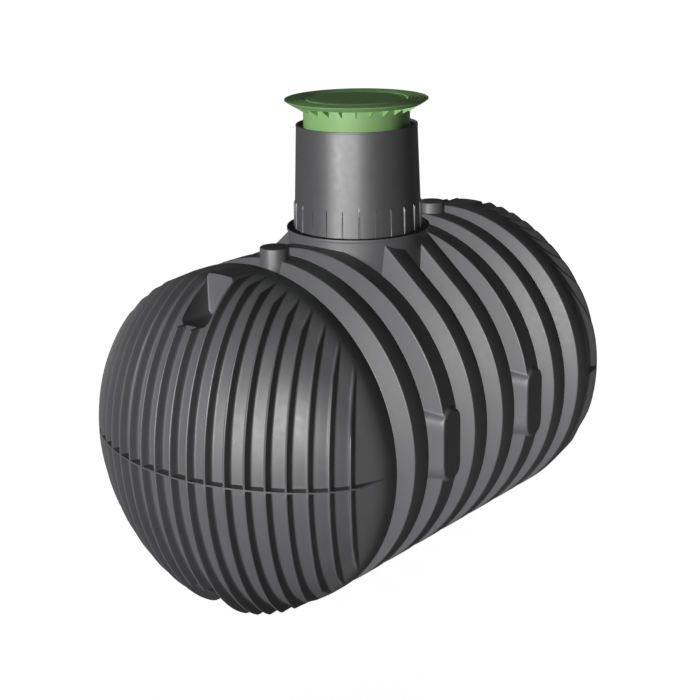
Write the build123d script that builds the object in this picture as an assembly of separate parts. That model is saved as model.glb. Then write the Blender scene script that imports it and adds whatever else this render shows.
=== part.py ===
"""Underground water tank: a ribbed plastic barrel lying on its feet, with two domed ends,
a neck on top, a conical shaft in the neck and a telescopic cover that slides in the shaft.

Millimetres. X runs along the tank, Z points up, and the origin is on the ground under the neck.
Heights that end in _H are measured from the barrel's own axis.
"""
from build123d import *
import math
import os

os.makedirs("parts", exist_ok=True)

# Barrel
CROWN_R = 1020.0
RIB_COUNT = 8
RIB_PITCH = 295.0
CROWN_WIDTH = 134.0
RIB_DEPTH = 130.0
RIB_DRAFT = 10.0
WALL = 11.0

# Domed ends, each with a fan of upright ribs and a pocket above and below
DOME_DEPTH = 722.0
DOME_RIB_COUNT = 20
DOME_RIB_STEP = 3.35
DOME_RIB_WIDTH = 20.0
FAN_AXIS_X = 250.0
GROOVE_DEPTH = 60.0
GROOVE_RUN_OUT = 45.0
POCKET_INSET = 117.0
POCKET_WIDTH = 350.0
POCKET_BELOW_CROWN = 280.0
POCKET_CORNER = 40.0
SEAM_THICKNESS = 10.0

# Pads on the sides and feet under the barrel
PAD_RIB_FROM_END = 2
PAD_LENGTH = 430.0
PAD_WIDTH = 170.0
PAD_CORNER = 55.0
PAD_DRAFT = 12.0

# Closed pipe stubs on the top
STUB_R = 86.0
STUB_ABOVE_CROWN = 67.0
STUB_FROM_END_RIB = 260.5
STUB_CHAMFER = 5.0

# Neck and its collar
NECK_R = 427.0
NECK_WALL = 12.0
COLLAR_R = 437.0
COLLAR_ABOVE_CROWN = 57.0
COLLAR_HEIGHT = 22.0
COLLAR_CHAMFER = 4.0
LEDGE_WIDTH = 15.0
LEDGE_THICKNESS = 15.0

# Conical shaft standing in the neck
SHAFT_TOP_R = 366.0
SHAFT_ABOVE_COLLAR = 618.0
SHAFT_FOOT_BELOW_COLLAR = 117.0
SHAFT_TAPER = 2.15
SHAFT_WALL = 8.0
SHAFT_FOOT_THICKNESS = 8.0
RIM_HEIGHT = 12.0
RIM_LIP_R = 346.0
RIM_BEAD = 1.5
FIN_COUNT = 24
FIN_WIDTH = 7.0
FIN_OUTER_R = 393.0
FIN_HEIGHT = 190.0
FIN_ABOVE_SEAL = 7.0
SEAL_HEIGHT = 16.0
GUIDE_HEIGHT = 23.0

# Telescopic cover
COVER_ABOVE_SHAFT = 151.0
COVER_R = 432.0
COVER_RIM = 6.0
COVER_LIP_R = 395.0
COVER_FLANGE_DEPTH = 30.0
SKIRT_R = 321.0
SKIRT_WALL = 8.0
SKIRT_LENGTH = 526.0
GUSSET_COUNT = 24
GUSSET_THICKNESS = 7.0
GUSSET_HEIGHT = 44.0
LID_R = 300.0
LID_HEIGHT = 20.0
LID_PLATE = 8.0
LID_EDGE = 12.0
LID_SHELF_R = 285.0
LID_SHELF_THICKNESS = 8.0

# Clearances
SEAT_GAP = 0.3
GUIDE_GAP = 0.6
LID_GAP = 11.0

# Worked out from the sizes above
AXIS_H = CROWN_R
VALLEY_R = CROWN_R - RIB_DEPTH
DRAFT_RUN = RIB_DEPTH * math.tan(math.radians(RIB_DRAFT))
WALL_INSET = WALL * math.tan(math.radians(45 - RIB_DRAFT / 2))
END_RIB_X = RIB_PITCH * (RIB_COUNT - 1) / 2
BARREL_END_X = END_RIB_X - RIB_PITCH / 2
GROOVE_START_X = END_RIB_X + CROWN_WIDTH / 2
FAN_HALF_ANGLE = DOME_RIB_STEP * (DOME_RIB_COUNT - 1) / 2
POCKET_WALL_X = END_RIB_X + POCKET_INSET
POCKET_FLOOR_H = CROWN_R - POCKET_BELOW_CROWN
STUB_X = END_RIB_X - STUB_FROM_END_RIB
STUB_TOP_H = CROWN_R + STUB_ABOVE_CROWN
NECK_BORE_R = NECK_R - NECK_WALL
COLLAR_TOP_H = CROWN_R + COLLAR_ABOVE_CROWN
NECK_TOP_H = COLLAR_TOP_H - COLLAR_HEIGHT
SHAFT_FOOT_H = COLLAR_TOP_H - SHAFT_FOOT_BELOW_COLLAR
SHAFT_TOP_H = COLLAR_TOP_H + SHAFT_ABOVE_COLLAR
COVER_TOP_H = SHAFT_TOP_H + COVER_ABOVE_SHAFT
TUBE_TOP_H = SHAFT_TOP_H - RIM_HEIGHT
RECESS_R = LID_R + LID_GAP
SHELF_TOP_H = COVER_TOP_H - LID_HEIGHT


def export(shape, node):
    """Lift a shape from the barrel's axis to the ground frame and write it."""
    export_step(Pos(0, 0, AXIS_H) * shape, f"parts/{node}.step")


def rib_x(index):
    """Place of a rib's middle along the tank."""
    return (index - (RIB_COUNT - 1) / 2) * RIB_PITCH


def rib_line(index, inset, depth):
    """Section line of one rib, from valley to valley; inset and depth place it in the wall."""
    middle = rib_x(index)
    crown = CROWN_WIDTH / 2 - inset
    foot = crown + DRAFT_RUN
    valley = VALLEY_R - depth
    top = CROWN_R - depth
    return [
        (middle - RIB_PITCH / 2, valley),
        (middle - foot, valley),
        (middle - crown, top),
        (middle + crown, top),
        (middle + foot, valley),
        (middle + RIB_PITCH / 2, valley),
    ]


def half_turn(face):
    """Turn a section above the X axis half round, over the top."""
    return revolve(face, Axis.X, 180)


def flipped(shape):
    """The upper half turned to make the lower one."""
    return shape.rotate(Axis.X, 180)


def half_space():
    """A block over everything above the seam."""
    size = 4 * (END_RIB_X + DOME_DEPTH)
    return Pos(0, 0, size / 2) * Box(size, size, size)


def hoop_core(index):
    """Space inside one hoop, upper half."""
    line = rib_line(index, WALL_INSET, WALL)
    return half_turn(make_face(Polyline((line[0][0], 0), *line, (line[-1][0], 0), close=True)))


def hoop_shell(index):
    """Plain upper half of one ribbed hoop, from valley to valley."""
    outer = rib_line(index, 0, 0)
    inner = rib_line(index, WALL_INSET, WALL)
    return half_turn(make_face(Polyline(*outer, *reversed(inner), close=True)))


def pad_block(index):
    """Pad that stands off one rib on the +Y side, flush with the crown, sloping to the valley."""
    plane = Plane(origin=(rib_x(index), CROWN_R, 0), x_dir=(1, 0, 0), z_dir=(0, -1, 0))
    face = RectangleRounded(PAD_WIDTH, PAD_LENGTH, PAD_CORNER)
    corner_depth = CROWN_R - math.sqrt(VALLEY_R**2 - (PAD_LENGTH / 2) ** 2)
    return extrude(plane * face, corner_depth + 2 * WALL, taper=-PAD_DRAFT)


def side_pads(index):
    """Upper halves of the two side pads of one hoop."""
    pad = pad_block(index) & half_space()
    pads = pad + mirror(pad, Plane.XZ)
    return pads - hoop_core(index)


def foot_pad(index):
    """Foot under one hoop, made as a top pad so that it turns over with the lower half."""
    return pad_block(index).rotate(Axis.X, 90) - hoop_core(index)


def neck_cut():
    """Round hole for the neck."""
    height = 2 * COLLAR_TOP_H
    return Pos(0, 0, height / 2) * Cylinder(NECK_R + SEAT_GAP, height)


def stub_cut(side):
    """Round hole for a pipe stub; side is -1 near, +1 far."""
    height = 2 * STUB_TOP_H
    return Pos(side * STUB_X, 0, height / 2) * Cylinder(STUB_R + SEAT_GAP, height)


def carries_pads(index):
    """Whether a rib carries pads and a foot."""
    return index in (PAD_RIB_FROM_END, RIB_COUNT - 1 - PAD_RIB_FROM_END)


def upper_hoop(index):
    """Upper half of one hoop with its pads and holes."""
    hoop = hoop_shell(index)
    if carries_pads(index):
        hoop = hoop + side_pads(index)
    if abs(rib_x(index)) - RIB_PITCH / 2 < NECK_R:
        hoop = hoop - neck_cut()
    for side in (-1, 1):
        if abs(rib_x(index) - side * STUB_X) < RIB_PITCH / 2:
            hoop = hoop - stub_cut(side)
    return hoop


def lower_hoop(index):
    """Lower half of one hoop with its pads and foot."""
    hoop = hoop_shell(index)
    if carries_pads(index):
        hoop = hoop + side_pads(index) + foot_pad(index)
    return flipped(hoop)


def end_face(inset, depth):
    """Section of a near end through the crest of a dome rib, down to the axis."""
    valley = VALLEY_R - depth
    top = CROWN_R - depth
    crown_x = -END_RIB_X + CROWN_WIDTH / 2 - inset
    foot_x = crown_x + DRAFT_RUN
    length = DOME_DEPTH - depth
    edge = Polyline(
        (-END_RIB_X - length, 0), (-BARREL_END_X, 0), (-BARREL_END_X, valley), (foot_x, valley),
        (crown_x, top), (-END_RIB_X, top),
    )
    dome = EllipticalCenterArc((-END_RIB_X, 0), length, top, 90, arc_size=90)
    return make_face(edge + dome)


def groove_face(inset, depth):
    """Section of a near end along a groove, which runs out at the last crown."""
    bottom = Ellipse(DOME_DEPTH - GROOVE_DEPTH - depth, CROWN_R - GROOVE_DEPTH - depth)
    start = -GROOVE_START_X + inset
    run_out = Polyline(
        (start, CROWN_R), (start - GROOVE_RUN_OUT, CROWN_R - 2 * GROOVE_DEPTH),
        (start - GROOVE_RUN_OUT, 0), (-BARREL_END_X, 0), (-BARREL_END_X, CROWN_R), close=True,
    )
    return end_face(inset, depth) & (Pos(-END_RIB_X, 0) * bottom + make_face(run_out))


def fan_wedge(half_angle):
    """Upright wedge over the fan of dome ribs, out to an angle each side of the tank's axis."""
    reach = FAN_AXIS_X + END_RIB_X + 2 * DOME_DEPTH
    spread = reach * math.tan(math.radians(half_angle))
    face = make_face(Polyline((0, 0), (-reach, spread), (-reach, -spread), close=True))
    return Pos(FAN_AXIS_X, 0, 0) * extrude(face, 2 * CROWN_R, both=True)


def dome_ribs():
    """Upright plates that give the dome ribs; their planes meet in the fan's axis."""
    reach = FAN_AXIS_X + END_RIB_X + 2 * DOME_DEPTH
    plate = Pos(-reach / 2, 0, CROWN_R / 2 + SEAM_THICKNESS / 2) * Box(reach, DOME_RIB_WIDTH, CROWN_R)
    turns = [-FAN_HALF_ANGLE + DOME_RIB_STEP * number for number in range(DOME_RIB_COUNT)]
    return [Pos(FAN_AXIS_X, 0, 0) * plate.rotate(Axis.Z, turn) for turn in turns]


def pocket_block(grow):
    """Recess in the top of a near end; grow thickens it for the space behind its wall."""
    wide = POCKET_WIDTH + 2 * grow
    floor = POCKET_FLOOR_H - grow
    tall = CROWN_R
    face = RectangleRounded(wide, 2 * tall, POCKET_CORNER + grow)
    plane = Plane(origin=(-POCKET_WALL_X + grow, 0, floor + tall), x_dir=(0, -1, 0), z_dir=(-1, 0, 0))
    return extrude(plane * face, DOME_DEPTH)


def upper_end():
    """Upper half of the near end: last rib, dome with its fan of ribs, and pocket."""
    crest = half_turn(end_face(0, 0))
    beyond = crest - fan_wedge(FAN_HALF_ANGLE)
    ribs = [crest & plate for plate in dome_ribs()]
    outside = half_turn(groove_face(0, 0)) + beyond + ribs - pocket_block(0)
    plain = half_turn(end_face(WALL_INSET, WALL)) - fan_wedge(FAN_HALF_ANGLE + DOME_RIB_STEP / 4)
    inside = half_turn(groove_face(WALL_INSET, WALL)) + plain - pocket_block(WALL)
    return outside - inside


def seam_flange():
    """Flat flange along the seam of the near dome, in the depth of the grooves."""
    crest = Ellipse(DOME_DEPTH, CROWN_R)
    bottom = Ellipse(DOME_DEPTH - GROOVE_DEPTH, CROWN_R - GROOVE_DEPTH)
    front = Pos(-DOME_DEPTH / 2, 0) * Rectangle(DOME_DEPTH, 2 * CROWN_R)
    flange = extrude((crest & front) - bottom, SEAM_THICKNESS / 2, both=True)
    return Pos(-END_RIB_X, 0, 0) * flange & fan_wedge(FAN_HALF_ANGLE)


def pipe_stub(side):
    """Closed pipe stub on the top, open to the tank below."""
    index = 1 if side < 0 else RIB_COUNT - 2
    profile = Polyline(
        (STUB_R - WALL, 0), (STUB_R, 0), (STUB_R, STUB_TOP_H - STUB_CHAMFER),
        (STUB_R - STUB_CHAMFER, STUB_TOP_H), (0, STUB_TOP_H), (0, STUB_TOP_H - WALL),
        (STUB_R - WALL, STUB_TOP_H - WALL), close=True,
    )
    stub = revolve(Plane.XZ * make_face(profile), Axis.Z)
    return Pos(side * STUB_X, 0, 0) * stub - hoop_core(index)


def ring(points):
    """Body of revolution round the neck's axis from (radius, height) points."""
    return revolve(Plane.XZ * make_face(Polyline(*points, close=True)), Axis.Z)


def neck_tower():
    """Neck wall with the ledge that the shaft stands on."""
    bore = NECK_BORE_R
    wall = ring([
        (bore, 0), (NECK_R, 0), (NECK_R, NECK_TOP_H), (bore, NECK_TOP_H),
        (bore, SHAFT_FOOT_H), (bore - LEDGE_WIDTH, SHAFT_FOOT_H),
        (bore - LEDGE_WIDTH, SHAFT_FOOT_H - LEDGE_THICKNESS), (bore, SHAFT_FOOT_H - LEDGE_THICKNESS),
    ])
    inside = Cylinder(VALLEY_R - WALL, 4 * NECK_R).rotate(Axis.Y, 90)
    return wall - inside


def neck_collar():
    """Thick lip on top of the neck."""
    edge = COLLAR_CHAMFER
    return ring([
        (NECK_BORE_R, NECK_TOP_H), (COLLAR_R - edge, NECK_TOP_H), (COLLAR_R, NECK_TOP_H + edge),
        (COLLAR_R, COLLAR_TOP_H - edge), (COLLAR_R - edge, COLLAR_TOP_H), (NECK_BORE_R, COLLAR_TOP_H),
    ])


def shaft_r(height):
    """Outer radius of the conical shaft at a height."""
    return SHAFT_TOP_R + (SHAFT_TOP_H - height) * math.tan(math.radians(SHAFT_TAPER))


def shaft_tube():
    """Conical tube with a foot ring and stiffening fins near its foot."""
    foot_top = SHAFT_FOOT_H + SHAFT_FOOT_THICKNESS
    foot_r = NECK_BORE_R - SEAT_GAP
    tube = ring([
        (shaft_r(SHAFT_FOOT_H) - SHAFT_WALL, SHAFT_FOOT_H), (foot_r, SHAFT_FOOT_H), (foot_r, foot_top),
        (shaft_r(foot_top), foot_top), (shaft_r(TUBE_TOP_H), TUBE_TOP_H),
        (shaft_r(TUBE_TOP_H) - SHAFT_WALL, TUBE_TOP_H),
    ])
    low = NECK_TOP_H + FIN_ABOVE_SEAL
    high = low + FIN_HEIGHT
    section = Polyline(
        (shaft_r(low) - SHAFT_WALL / 2, low), (FIN_OUTER_R, low),
        (FIN_OUTER_R, high - FIN_WIDTH), (shaft_r(high) - SHAFT_WALL / 2, high), close=True,
    )
    fin = extrude(Plane.XZ * make_face(section), FIN_WIDTH / 2, both=True)
    return tube + PolarLocations(0, FIN_COUNT) * fin


def shaft_rim():
    """Bead and inner lip on top of the shaft."""
    outer = shaft_r(TUBE_TOP_H) + RIM_BEAD
    return ring([
        (RIM_LIP_R, TUBE_TOP_H), (outer, TUBE_TOP_H), (outer, SHAFT_TOP_H - RIM_BEAD),
        (outer - RIM_BEAD, SHAFT_TOP_H), (RIM_LIP_R, SHAFT_TOP_H),
    ])


def shaft_seal():
    """Rubber ring between the shaft and the neck."""
    low = NECK_TOP_H - SEAL_HEIGHT
    outer = NECK_BORE_R - SEAT_GAP
    return ring([
        (shaft_r(low) + SEAT_GAP, low), (outer, low), (outer, NECK_TOP_H),
        (shaft_r(NECK_TOP_H) + SEAT_GAP, NECK_TOP_H),
    ])


def guide_seal():
    """Rubber ring under the rim that guides the cover's skirt."""
    low = TUBE_TOP_H - GUIDE_HEIGHT
    inner = SKIRT_R + GUIDE_GAP
    gap = SHAFT_WALL + SEAT_GAP
    return ring([
        (inner, low), (shaft_r(low) - gap, low), (shaft_r(TUBE_TOP_H) - gap, TUBE_TOP_H),
        (inner, TUBE_TOP_H),
    ])


def cover_frame():
    """Flange, skirt and gussets of the telescopic cover, with a shelf for the lid."""
    flange_low = COVER_TOP_H - COVER_FLANGE_DEPTH
    shelf_low = SHELF_TOP_H - LID_SHELF_THICKNESS
    skirt_low = flange_low - SKIRT_LENGTH
    bore = SKIRT_R - SKIRT_WALL
    frame = ring([
        (RECESS_R, COVER_TOP_H), (COVER_R, COVER_TOP_H), (COVER_R, COVER_TOP_H - COVER_RIM),
        (COVER_LIP_R, flange_low), (SKIRT_R, flange_low), (SKIRT_R, skirt_low), (bore, skirt_low),
        (bore, shelf_low), (LID_SHELF_R, shelf_low), (LID_SHELF_R, SHELF_TOP_H), (RECESS_R, SHELF_TOP_H),
    ])
    overlap = SKIRT_WALL / 2
    section = Polyline(
        (SKIRT_R - overlap, flange_low + overlap), (COVER_LIP_R - overlap, flange_low + overlap),
        (COVER_LIP_R - overlap, flange_low), (SKIRT_R, flange_low - GUSSET_HEIGHT),
        (SKIRT_R - overlap, flange_low - GUSSET_HEIGHT), close=True,
    )
    gusset = extrude(Plane.XZ * make_face(section), GUSSET_THICKNESS / 2, both=True)
    return frame + PolarLocations(0, GUSSET_COUNT) * gusset


def cover_lid():
    """Lid plate with a deep edge that stands on the shelf."""
    plate_low = COVER_TOP_H - LID_PLATE
    return ring([
        (0, COVER_TOP_H), (LID_R, COVER_TOP_H), (LID_R, SHELF_TOP_H), (LID_R - LID_EDGE, SHELF_TOP_H),
        (LID_R - LID_EDGE, plate_low), (0, plate_low),
    ])


def main():
    """Build and write every piece."""
    end = upper_end()
    flange = seam_flange()
    for name, turn in (("near", 0), ("far", 180)):
        export(end.rotate(Axis.Z, turn), f"{name}_end_upper")
        export(flipped(end).rotate(Axis.Z, turn), f"{name}_end_lower")
        export(flange.rotate(Axis.Z, turn), f"{name}_seam_flange")
    for index in range(1, RIB_COUNT - 1):
        export(upper_hoop(index), f"hoop_{index}_upper")
        export(lower_hoop(index), f"hoop_{index}_lower")
    export(pipe_stub(-1), "near_pipe_stub")
    export(pipe_stub(1), "far_pipe_stub")
    export(neck_tower(), "neck_tower")
    export(neck_collar(), "neck_collar")
    export(shaft_tube(), "shaft_tube")
    export(shaft_rim(), "shaft_rim")
    export(shaft_seal(), "shaft_seal")
    export(guide_seal(), "guide_seal")
    export(cover_frame(), "cover_frame")
    export(cover_lid(), "cover_lid")


main()
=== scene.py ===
"""Looks of the underground water tank, built over its CAD frame.

Metres, in the frame's axes: X runs along the tank, Z points up and the ground is at Z = 0.
Every skin is a surface worked out on a grid with numpy and stands for the CAD nodes it covers.
"""
import logging
import math
from dataclasses import dataclass
from enum import Enum
from functools import cached_property

import bmesh
import bpy
import numpy as np
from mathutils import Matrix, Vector


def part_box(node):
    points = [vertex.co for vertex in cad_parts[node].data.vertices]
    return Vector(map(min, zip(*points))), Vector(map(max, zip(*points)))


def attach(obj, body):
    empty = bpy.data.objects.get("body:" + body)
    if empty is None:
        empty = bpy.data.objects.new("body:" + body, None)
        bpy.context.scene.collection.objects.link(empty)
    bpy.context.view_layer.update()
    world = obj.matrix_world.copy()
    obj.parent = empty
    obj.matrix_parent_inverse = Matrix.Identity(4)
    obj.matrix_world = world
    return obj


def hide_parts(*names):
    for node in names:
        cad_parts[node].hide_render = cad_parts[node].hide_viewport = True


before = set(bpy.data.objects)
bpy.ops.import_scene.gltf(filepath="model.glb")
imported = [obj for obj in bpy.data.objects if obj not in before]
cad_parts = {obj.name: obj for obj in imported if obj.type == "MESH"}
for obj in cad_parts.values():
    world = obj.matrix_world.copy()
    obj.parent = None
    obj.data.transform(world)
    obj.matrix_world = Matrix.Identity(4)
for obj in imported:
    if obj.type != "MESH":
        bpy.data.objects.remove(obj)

log = logging.getLogger("water_tank")

WELD = 2e-6
SHARP_ANGLE = math.radians(38)
HALF_PI = math.pi / 2
TURN = 2 * math.pi
SHARP_EDGE = 0.001
EASED_EDGE = 0.002
ROUND_EDGE = 0.003

Corner = tuple[float, float, float]
Socket = bpy.types.NodeSocket
Inputs = dict[str | int, Socket | float | tuple[float, ...]]


class Side(Enum):
    """Which end of the tank a piece belongs to; the value is its direction along X."""

    NEAR = -1
    FAR = 1


class Body(Enum):
    """The moving bodies of the frame."""

    TANK = "tank"
    COVER = "cover"


def smooth_min(a: np.ndarray, b: np.ndarray | float, blend: float) -> np.ndarray:
    """Lesser of two fields with a rounded change-over.

    The lesser value less h * h * blend / 4, where h falls from 1 to 0 as the fields part by blend.

    Args:
        a: first field.
        b: second field.
        blend: how far apart the fields are where the rounding ends.

    Returns:
        The rounded lesser field.
    """
    h = np.clip(1 - np.abs(a - b) / blend, 0, 1)
    return np.minimum(a, b) - h * h * blend / 4


def smooth_max(a: np.ndarray, b: np.ndarray | float, blend: float) -> np.ndarray:
    """Greater of two fields with a rounded change-over."""
    return -smooth_min(-a, -b, blend)


def smooth_step(x: np.ndarray, low: float, high: float) -> np.ndarray:
    """Ramp from 0 at low to 1 at high: 3tt - 2ttt with t the way from low to high."""
    t = np.clip((x - low) / (high - low), 0, 1)
    return t * t * (3 - 2 * t)


def rounded_line(corners: list[Corner], closed: bool = True, steps: int = 4) -> np.ndarray:
    """Line through corners, each replaced by an arc of its own radius.

    The arc touches both sides of its corner at radius / tan(half the angle) from it.

    Args:
        corners: (first, second, radius) of each corner; radius 0 keeps it sharp.
        closed: whether the last corner joins the first.
        steps: straight pieces in each arc.

    Returns:
        Array of points, two columns.
    """
    spots = np.array([corner[:2] for corner in corners], dtype=float)
    out = []
    for number, (spot, corner) in enumerate(zip(spots, corners)):
        radius = corner[2]
        at_end = not closed and number in (0, len(spots) - 1)
        if radius <= 0 or at_end:
            out.append(spot[None])
            continue
        before = spots[number - 1] - spot
        after = spots[(number + 1) % len(spots)] - spot
        before = before / np.linalg.norm(before)
        after = after / np.linalg.norm(after)
        half = math.acos(np.clip(before @ after, -1, 1)) / 2
        reach = radius / math.tan(half)
        middle = before + after
        centre = spot + middle / np.linalg.norm(middle) * radius / math.sin(half)
        start = spot + before * reach - centre
        end = spot + after * reach - centre
        turn = math.pi - 2 * half
        t = np.linspace(0, 1, steps + 1)[:, None]
        out.append(centre + (np.sin((1 - t) * turn) * start + np.sin(t * turn) * end) / math.sin(turn))
    return np.concatenate(out)


def turned(profile: np.ndarray, angles: np.ndarray) -> np.ndarray:
    """Surface of revolution round Z.

    Point (i, j) is (r_i cos a_j, r_i sin a_j, z_i) for profile rows (r_i, z_i).

    Args:
        profile: points with radius and height.
        angles: angles in radians.

    Returns:
        Grid of points, profile by angles by 3.
    """
    radius, height = profile[:, :1], profile[:, 1:]
    flat = np.ones_like(angles)[None]
    return np.stack([radius * np.cos(angles), radius * np.sin(angles), height * flat], axis=-1)


def full_turn(steps: int) -> np.ndarray:
    """Equal angles once round."""
    return np.linspace(0, TURN, steps, endpoint=False)


def unit_points(angles: np.ndarray) -> np.ndarray:
    """Points (cos a_j, sin a_j) on the unit circle."""
    return np.stack([np.cos(angles), np.sin(angles)], axis=-1)


def carried(line: np.ndarray, around: np.ndarray) -> np.ndarray:
    """Carries a line of (s_i, r_i) round the X axis: (s_i, r_i y_j, r_i z_j) for unit points."""
    axial = line[:, :1] * np.ones(len(around))
    return np.stack([axial, line[:, 1:] * around[:, 0], line[:, 1:] * around[:, 1]], axis=-1)


class Skin:
    """A closed surface put together from grids of points."""

    def __init__(self, name: str) -> None:
        """Starts an empty surface with the name of its object.

        Args:
            name: the object's name.
        """
        self.name = name
        self.points: list[np.ndarray] = []
        self.faces: list[list[int]] = []
        self.count = 0

    def grid(self, points: np.ndarray, wrap: bool = False) -> np.ndarray:
        """Adds a grid of quads.

        Args:
            points: rows by columns by 3.
            wrap: whether the last column joins the first.

        Returns:
            The numbers of the grid's points, rows by columns.
        """
        rows, columns = points.shape[:2]
        numbers = np.arange(rows * columns).reshape(rows, columns) + self.count
        ring = np.concatenate([numbers, numbers[:, :1]], axis=1) if wrap else numbers
        quads = np.stack([ring[:-1, :-1], ring[:-1, 1:], ring[1:, 1:], ring[1:, :-1]], axis=-1)
        self.points.append(points.reshape(-1, 3))
        self.faces.extend(quads.reshape(-1, 4).tolist())
        self.count += rows * columns
        return numbers

    def face(self, numbers: np.ndarray | list[int]) -> None:
        """Adds one flat face through points that are already there."""
        self.faces.append([int(number) for number in numbers])

    def caps(self, numbers: np.ndarray) -> None:
        """Closes a wrapped grid with a flat face at each end."""
        self.face(numbers[0])
        self.face(numbers[-1])

    def bridge(self, outer: np.ndarray, inner: np.ndarray) -> None:
        """Joins a fine closed loop to a coarser one in the same plane.

        Face i runs along the outer points from share i to share i + 1 and back by two inner points.

        Args:
            outer: point numbers of the fine loop.
            inner: point numbers of the coarse loop.
        """
        picks = self.shares(len(outer), len(inner))
        for number in range(len(inner)):
            start = picks[number]
            end = picks[number + 1]
            following = inner[(number + 1) % len(inner)]
            self.face([*outer[start:end], outer[end % len(outer)], following, inner[number]])

    @staticmethod
    def shares(fine: int, coarse: int) -> np.ndarray:
        """Places in a loop of fine points that split it into coarse even stretches."""
        return np.linspace(0, fine, coarse + 1).astype(int)

    def build(self) -> bpy.types.Object:
        """Makes the object: merges doubles, points the faces outward and shades it smooth.

        Returns:
            The shaded object.
        """
        mesh = bpy.data.meshes.new(self.name)
        mesh.from_pydata(np.concatenate(self.points).tolist(), [], self.faces)
        shape = bmesh.new()
        shape.from_mesh(mesh)
        bmesh.ops.remove_doubles(shape, verts=shape.verts, dist=WELD)
        bmesh.ops.recalc_face_normals(shape, faces=shape.faces)
        shape.to_mesh(mesh)
        shape.free()
        return shaded(linked(self.name, mesh))


def linked(name: str, data: bpy.types.ID) -> bpy.types.Object:
    """Makes an object and puts it into the scene.

    Args:
        name: the object's name.
        data: its mesh, camera or lamp.

    Returns:
        The object.
    """
    obj = bpy.data.objects.new(name, data)
    bpy.context.scene.collection.objects.link(obj)
    return obj


def shaded(obj: bpy.types.Object, angle: float = SHARP_ANGLE) -> bpy.types.Object:
    """Shades an object smooth with sharp edges where its faces turn by more than an angle.

    Args:
        obj: the object.
        angle: turn between two faces above which their edge is sharp.

    Returns:
        The same object.
    """
    obj.data.polygons.foreach_set("use_smooth", np.ones(len(obj.data.polygons), dtype=bool))
    obj.data.set_sharp_from_angle(angle=angle)
    return obj


def lathe(
    name: str, corners: list[Corner], steps: int = 180, closed: bool = True, x: float = 0.0
) -> bpy.types.Object:
    """Piece turned round an upright axis from a profile of rounded corners.

    Args:
        name: the object's name.
        corners: radius, height and rounding of each corner.
        steps: faces round the piece.
        closed: whether the last corner joins the first; otherwise both lie on the axis.
        x: place of the axis along the tank.

    Returns:
        The piece.
    """
    profile = rounded_line(corners, closed)
    if closed:
        profile = np.concatenate([profile, profile[:1]])
    skin = Skin(name)
    skin.grid(turned(profile, full_turn(steps)) + np.array([x, 0, 0]), wrap=True)
    return skin.build()


def cut(obj: bpy.types.Object, *cutters: bpy.types.Object) -> bpy.types.Object:
    """Takes closed cutters out of a closed object and removes them.

    Args:
        obj: the object that is cut.
        cutters: closed objects, which are used up.

    Returns:
        The same object, cut.
    """
    for cutter in cutters:
        modifier = obj.modifiers.new("cut", "BOOLEAN")
        modifier.operation = "DIFFERENCE"
        modifier.solver = "EXACT"
        modifier.object = cutter
    ready = obj.evaluated_get(bpy.context.evaluated_depsgraph_get())
    mesh = bpy.data.meshes.new_from_object(ready)
    obj.modifiers.clear()
    obj.data = mesh
    for cutter in cutters:
        bpy.data.objects.remove(cutter)
    return shaded(obj)


@dataclass(frozen=True)
class Layout:
    """Main sizes of the tank, read from the frame."""

    axis_z: float
    crown_r: float
    pitch: float
    last_rib_x: float
    dome_depth: float
    neck_r: float
    neck_wall: float
    collar_r: float
    collar_low: float
    collar_top: float
    shaft_foot: float
    shaft_top: float
    cover_r: float
    cover_top: float
    stub_x: float
    stub_r: float
    stub_top: float

    @classmethod
    def from_frame(cls) -> "Layout":
        """Reads the sizes from the corners of the CAD nodes.

        Returns:
            The sizes.
        """
        hoop_low, hoop_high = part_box("hoop_1_lower")
        end_low, end_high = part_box("near_end_upper")
        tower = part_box("neck_tower")
        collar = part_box("neck_collar")
        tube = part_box("shaft_tube")
        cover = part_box("cover_frame")
        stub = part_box("far_pipe_stub")
        pitch = hoop_high.x - hoop_low.x
        last_rib_x = -end_high.x + pitch / 2
        return cls(
            axis_z=hoop_high.z, crown_r=hoop_high.y, pitch=pitch, last_rib_x=last_rib_x,
            dome_depth=-end_low.x - last_rib_x, neck_r=tower[1].x, neck_wall=0.012,
            collar_r=collar[1].x, collar_low=collar[0].z, collar_top=collar[1].z,
            shaft_foot=tube[0].z, shaft_top=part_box("shaft_rim")[1].z,
            cover_r=cover[1].x, cover_top=cover[1].z,
            stub_x=(stub[0].x + stub[1].x) / 2, stub_r=(stub[1].x - stub[0].x) / 2, stub_top=stub[1].z,
        )


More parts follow.
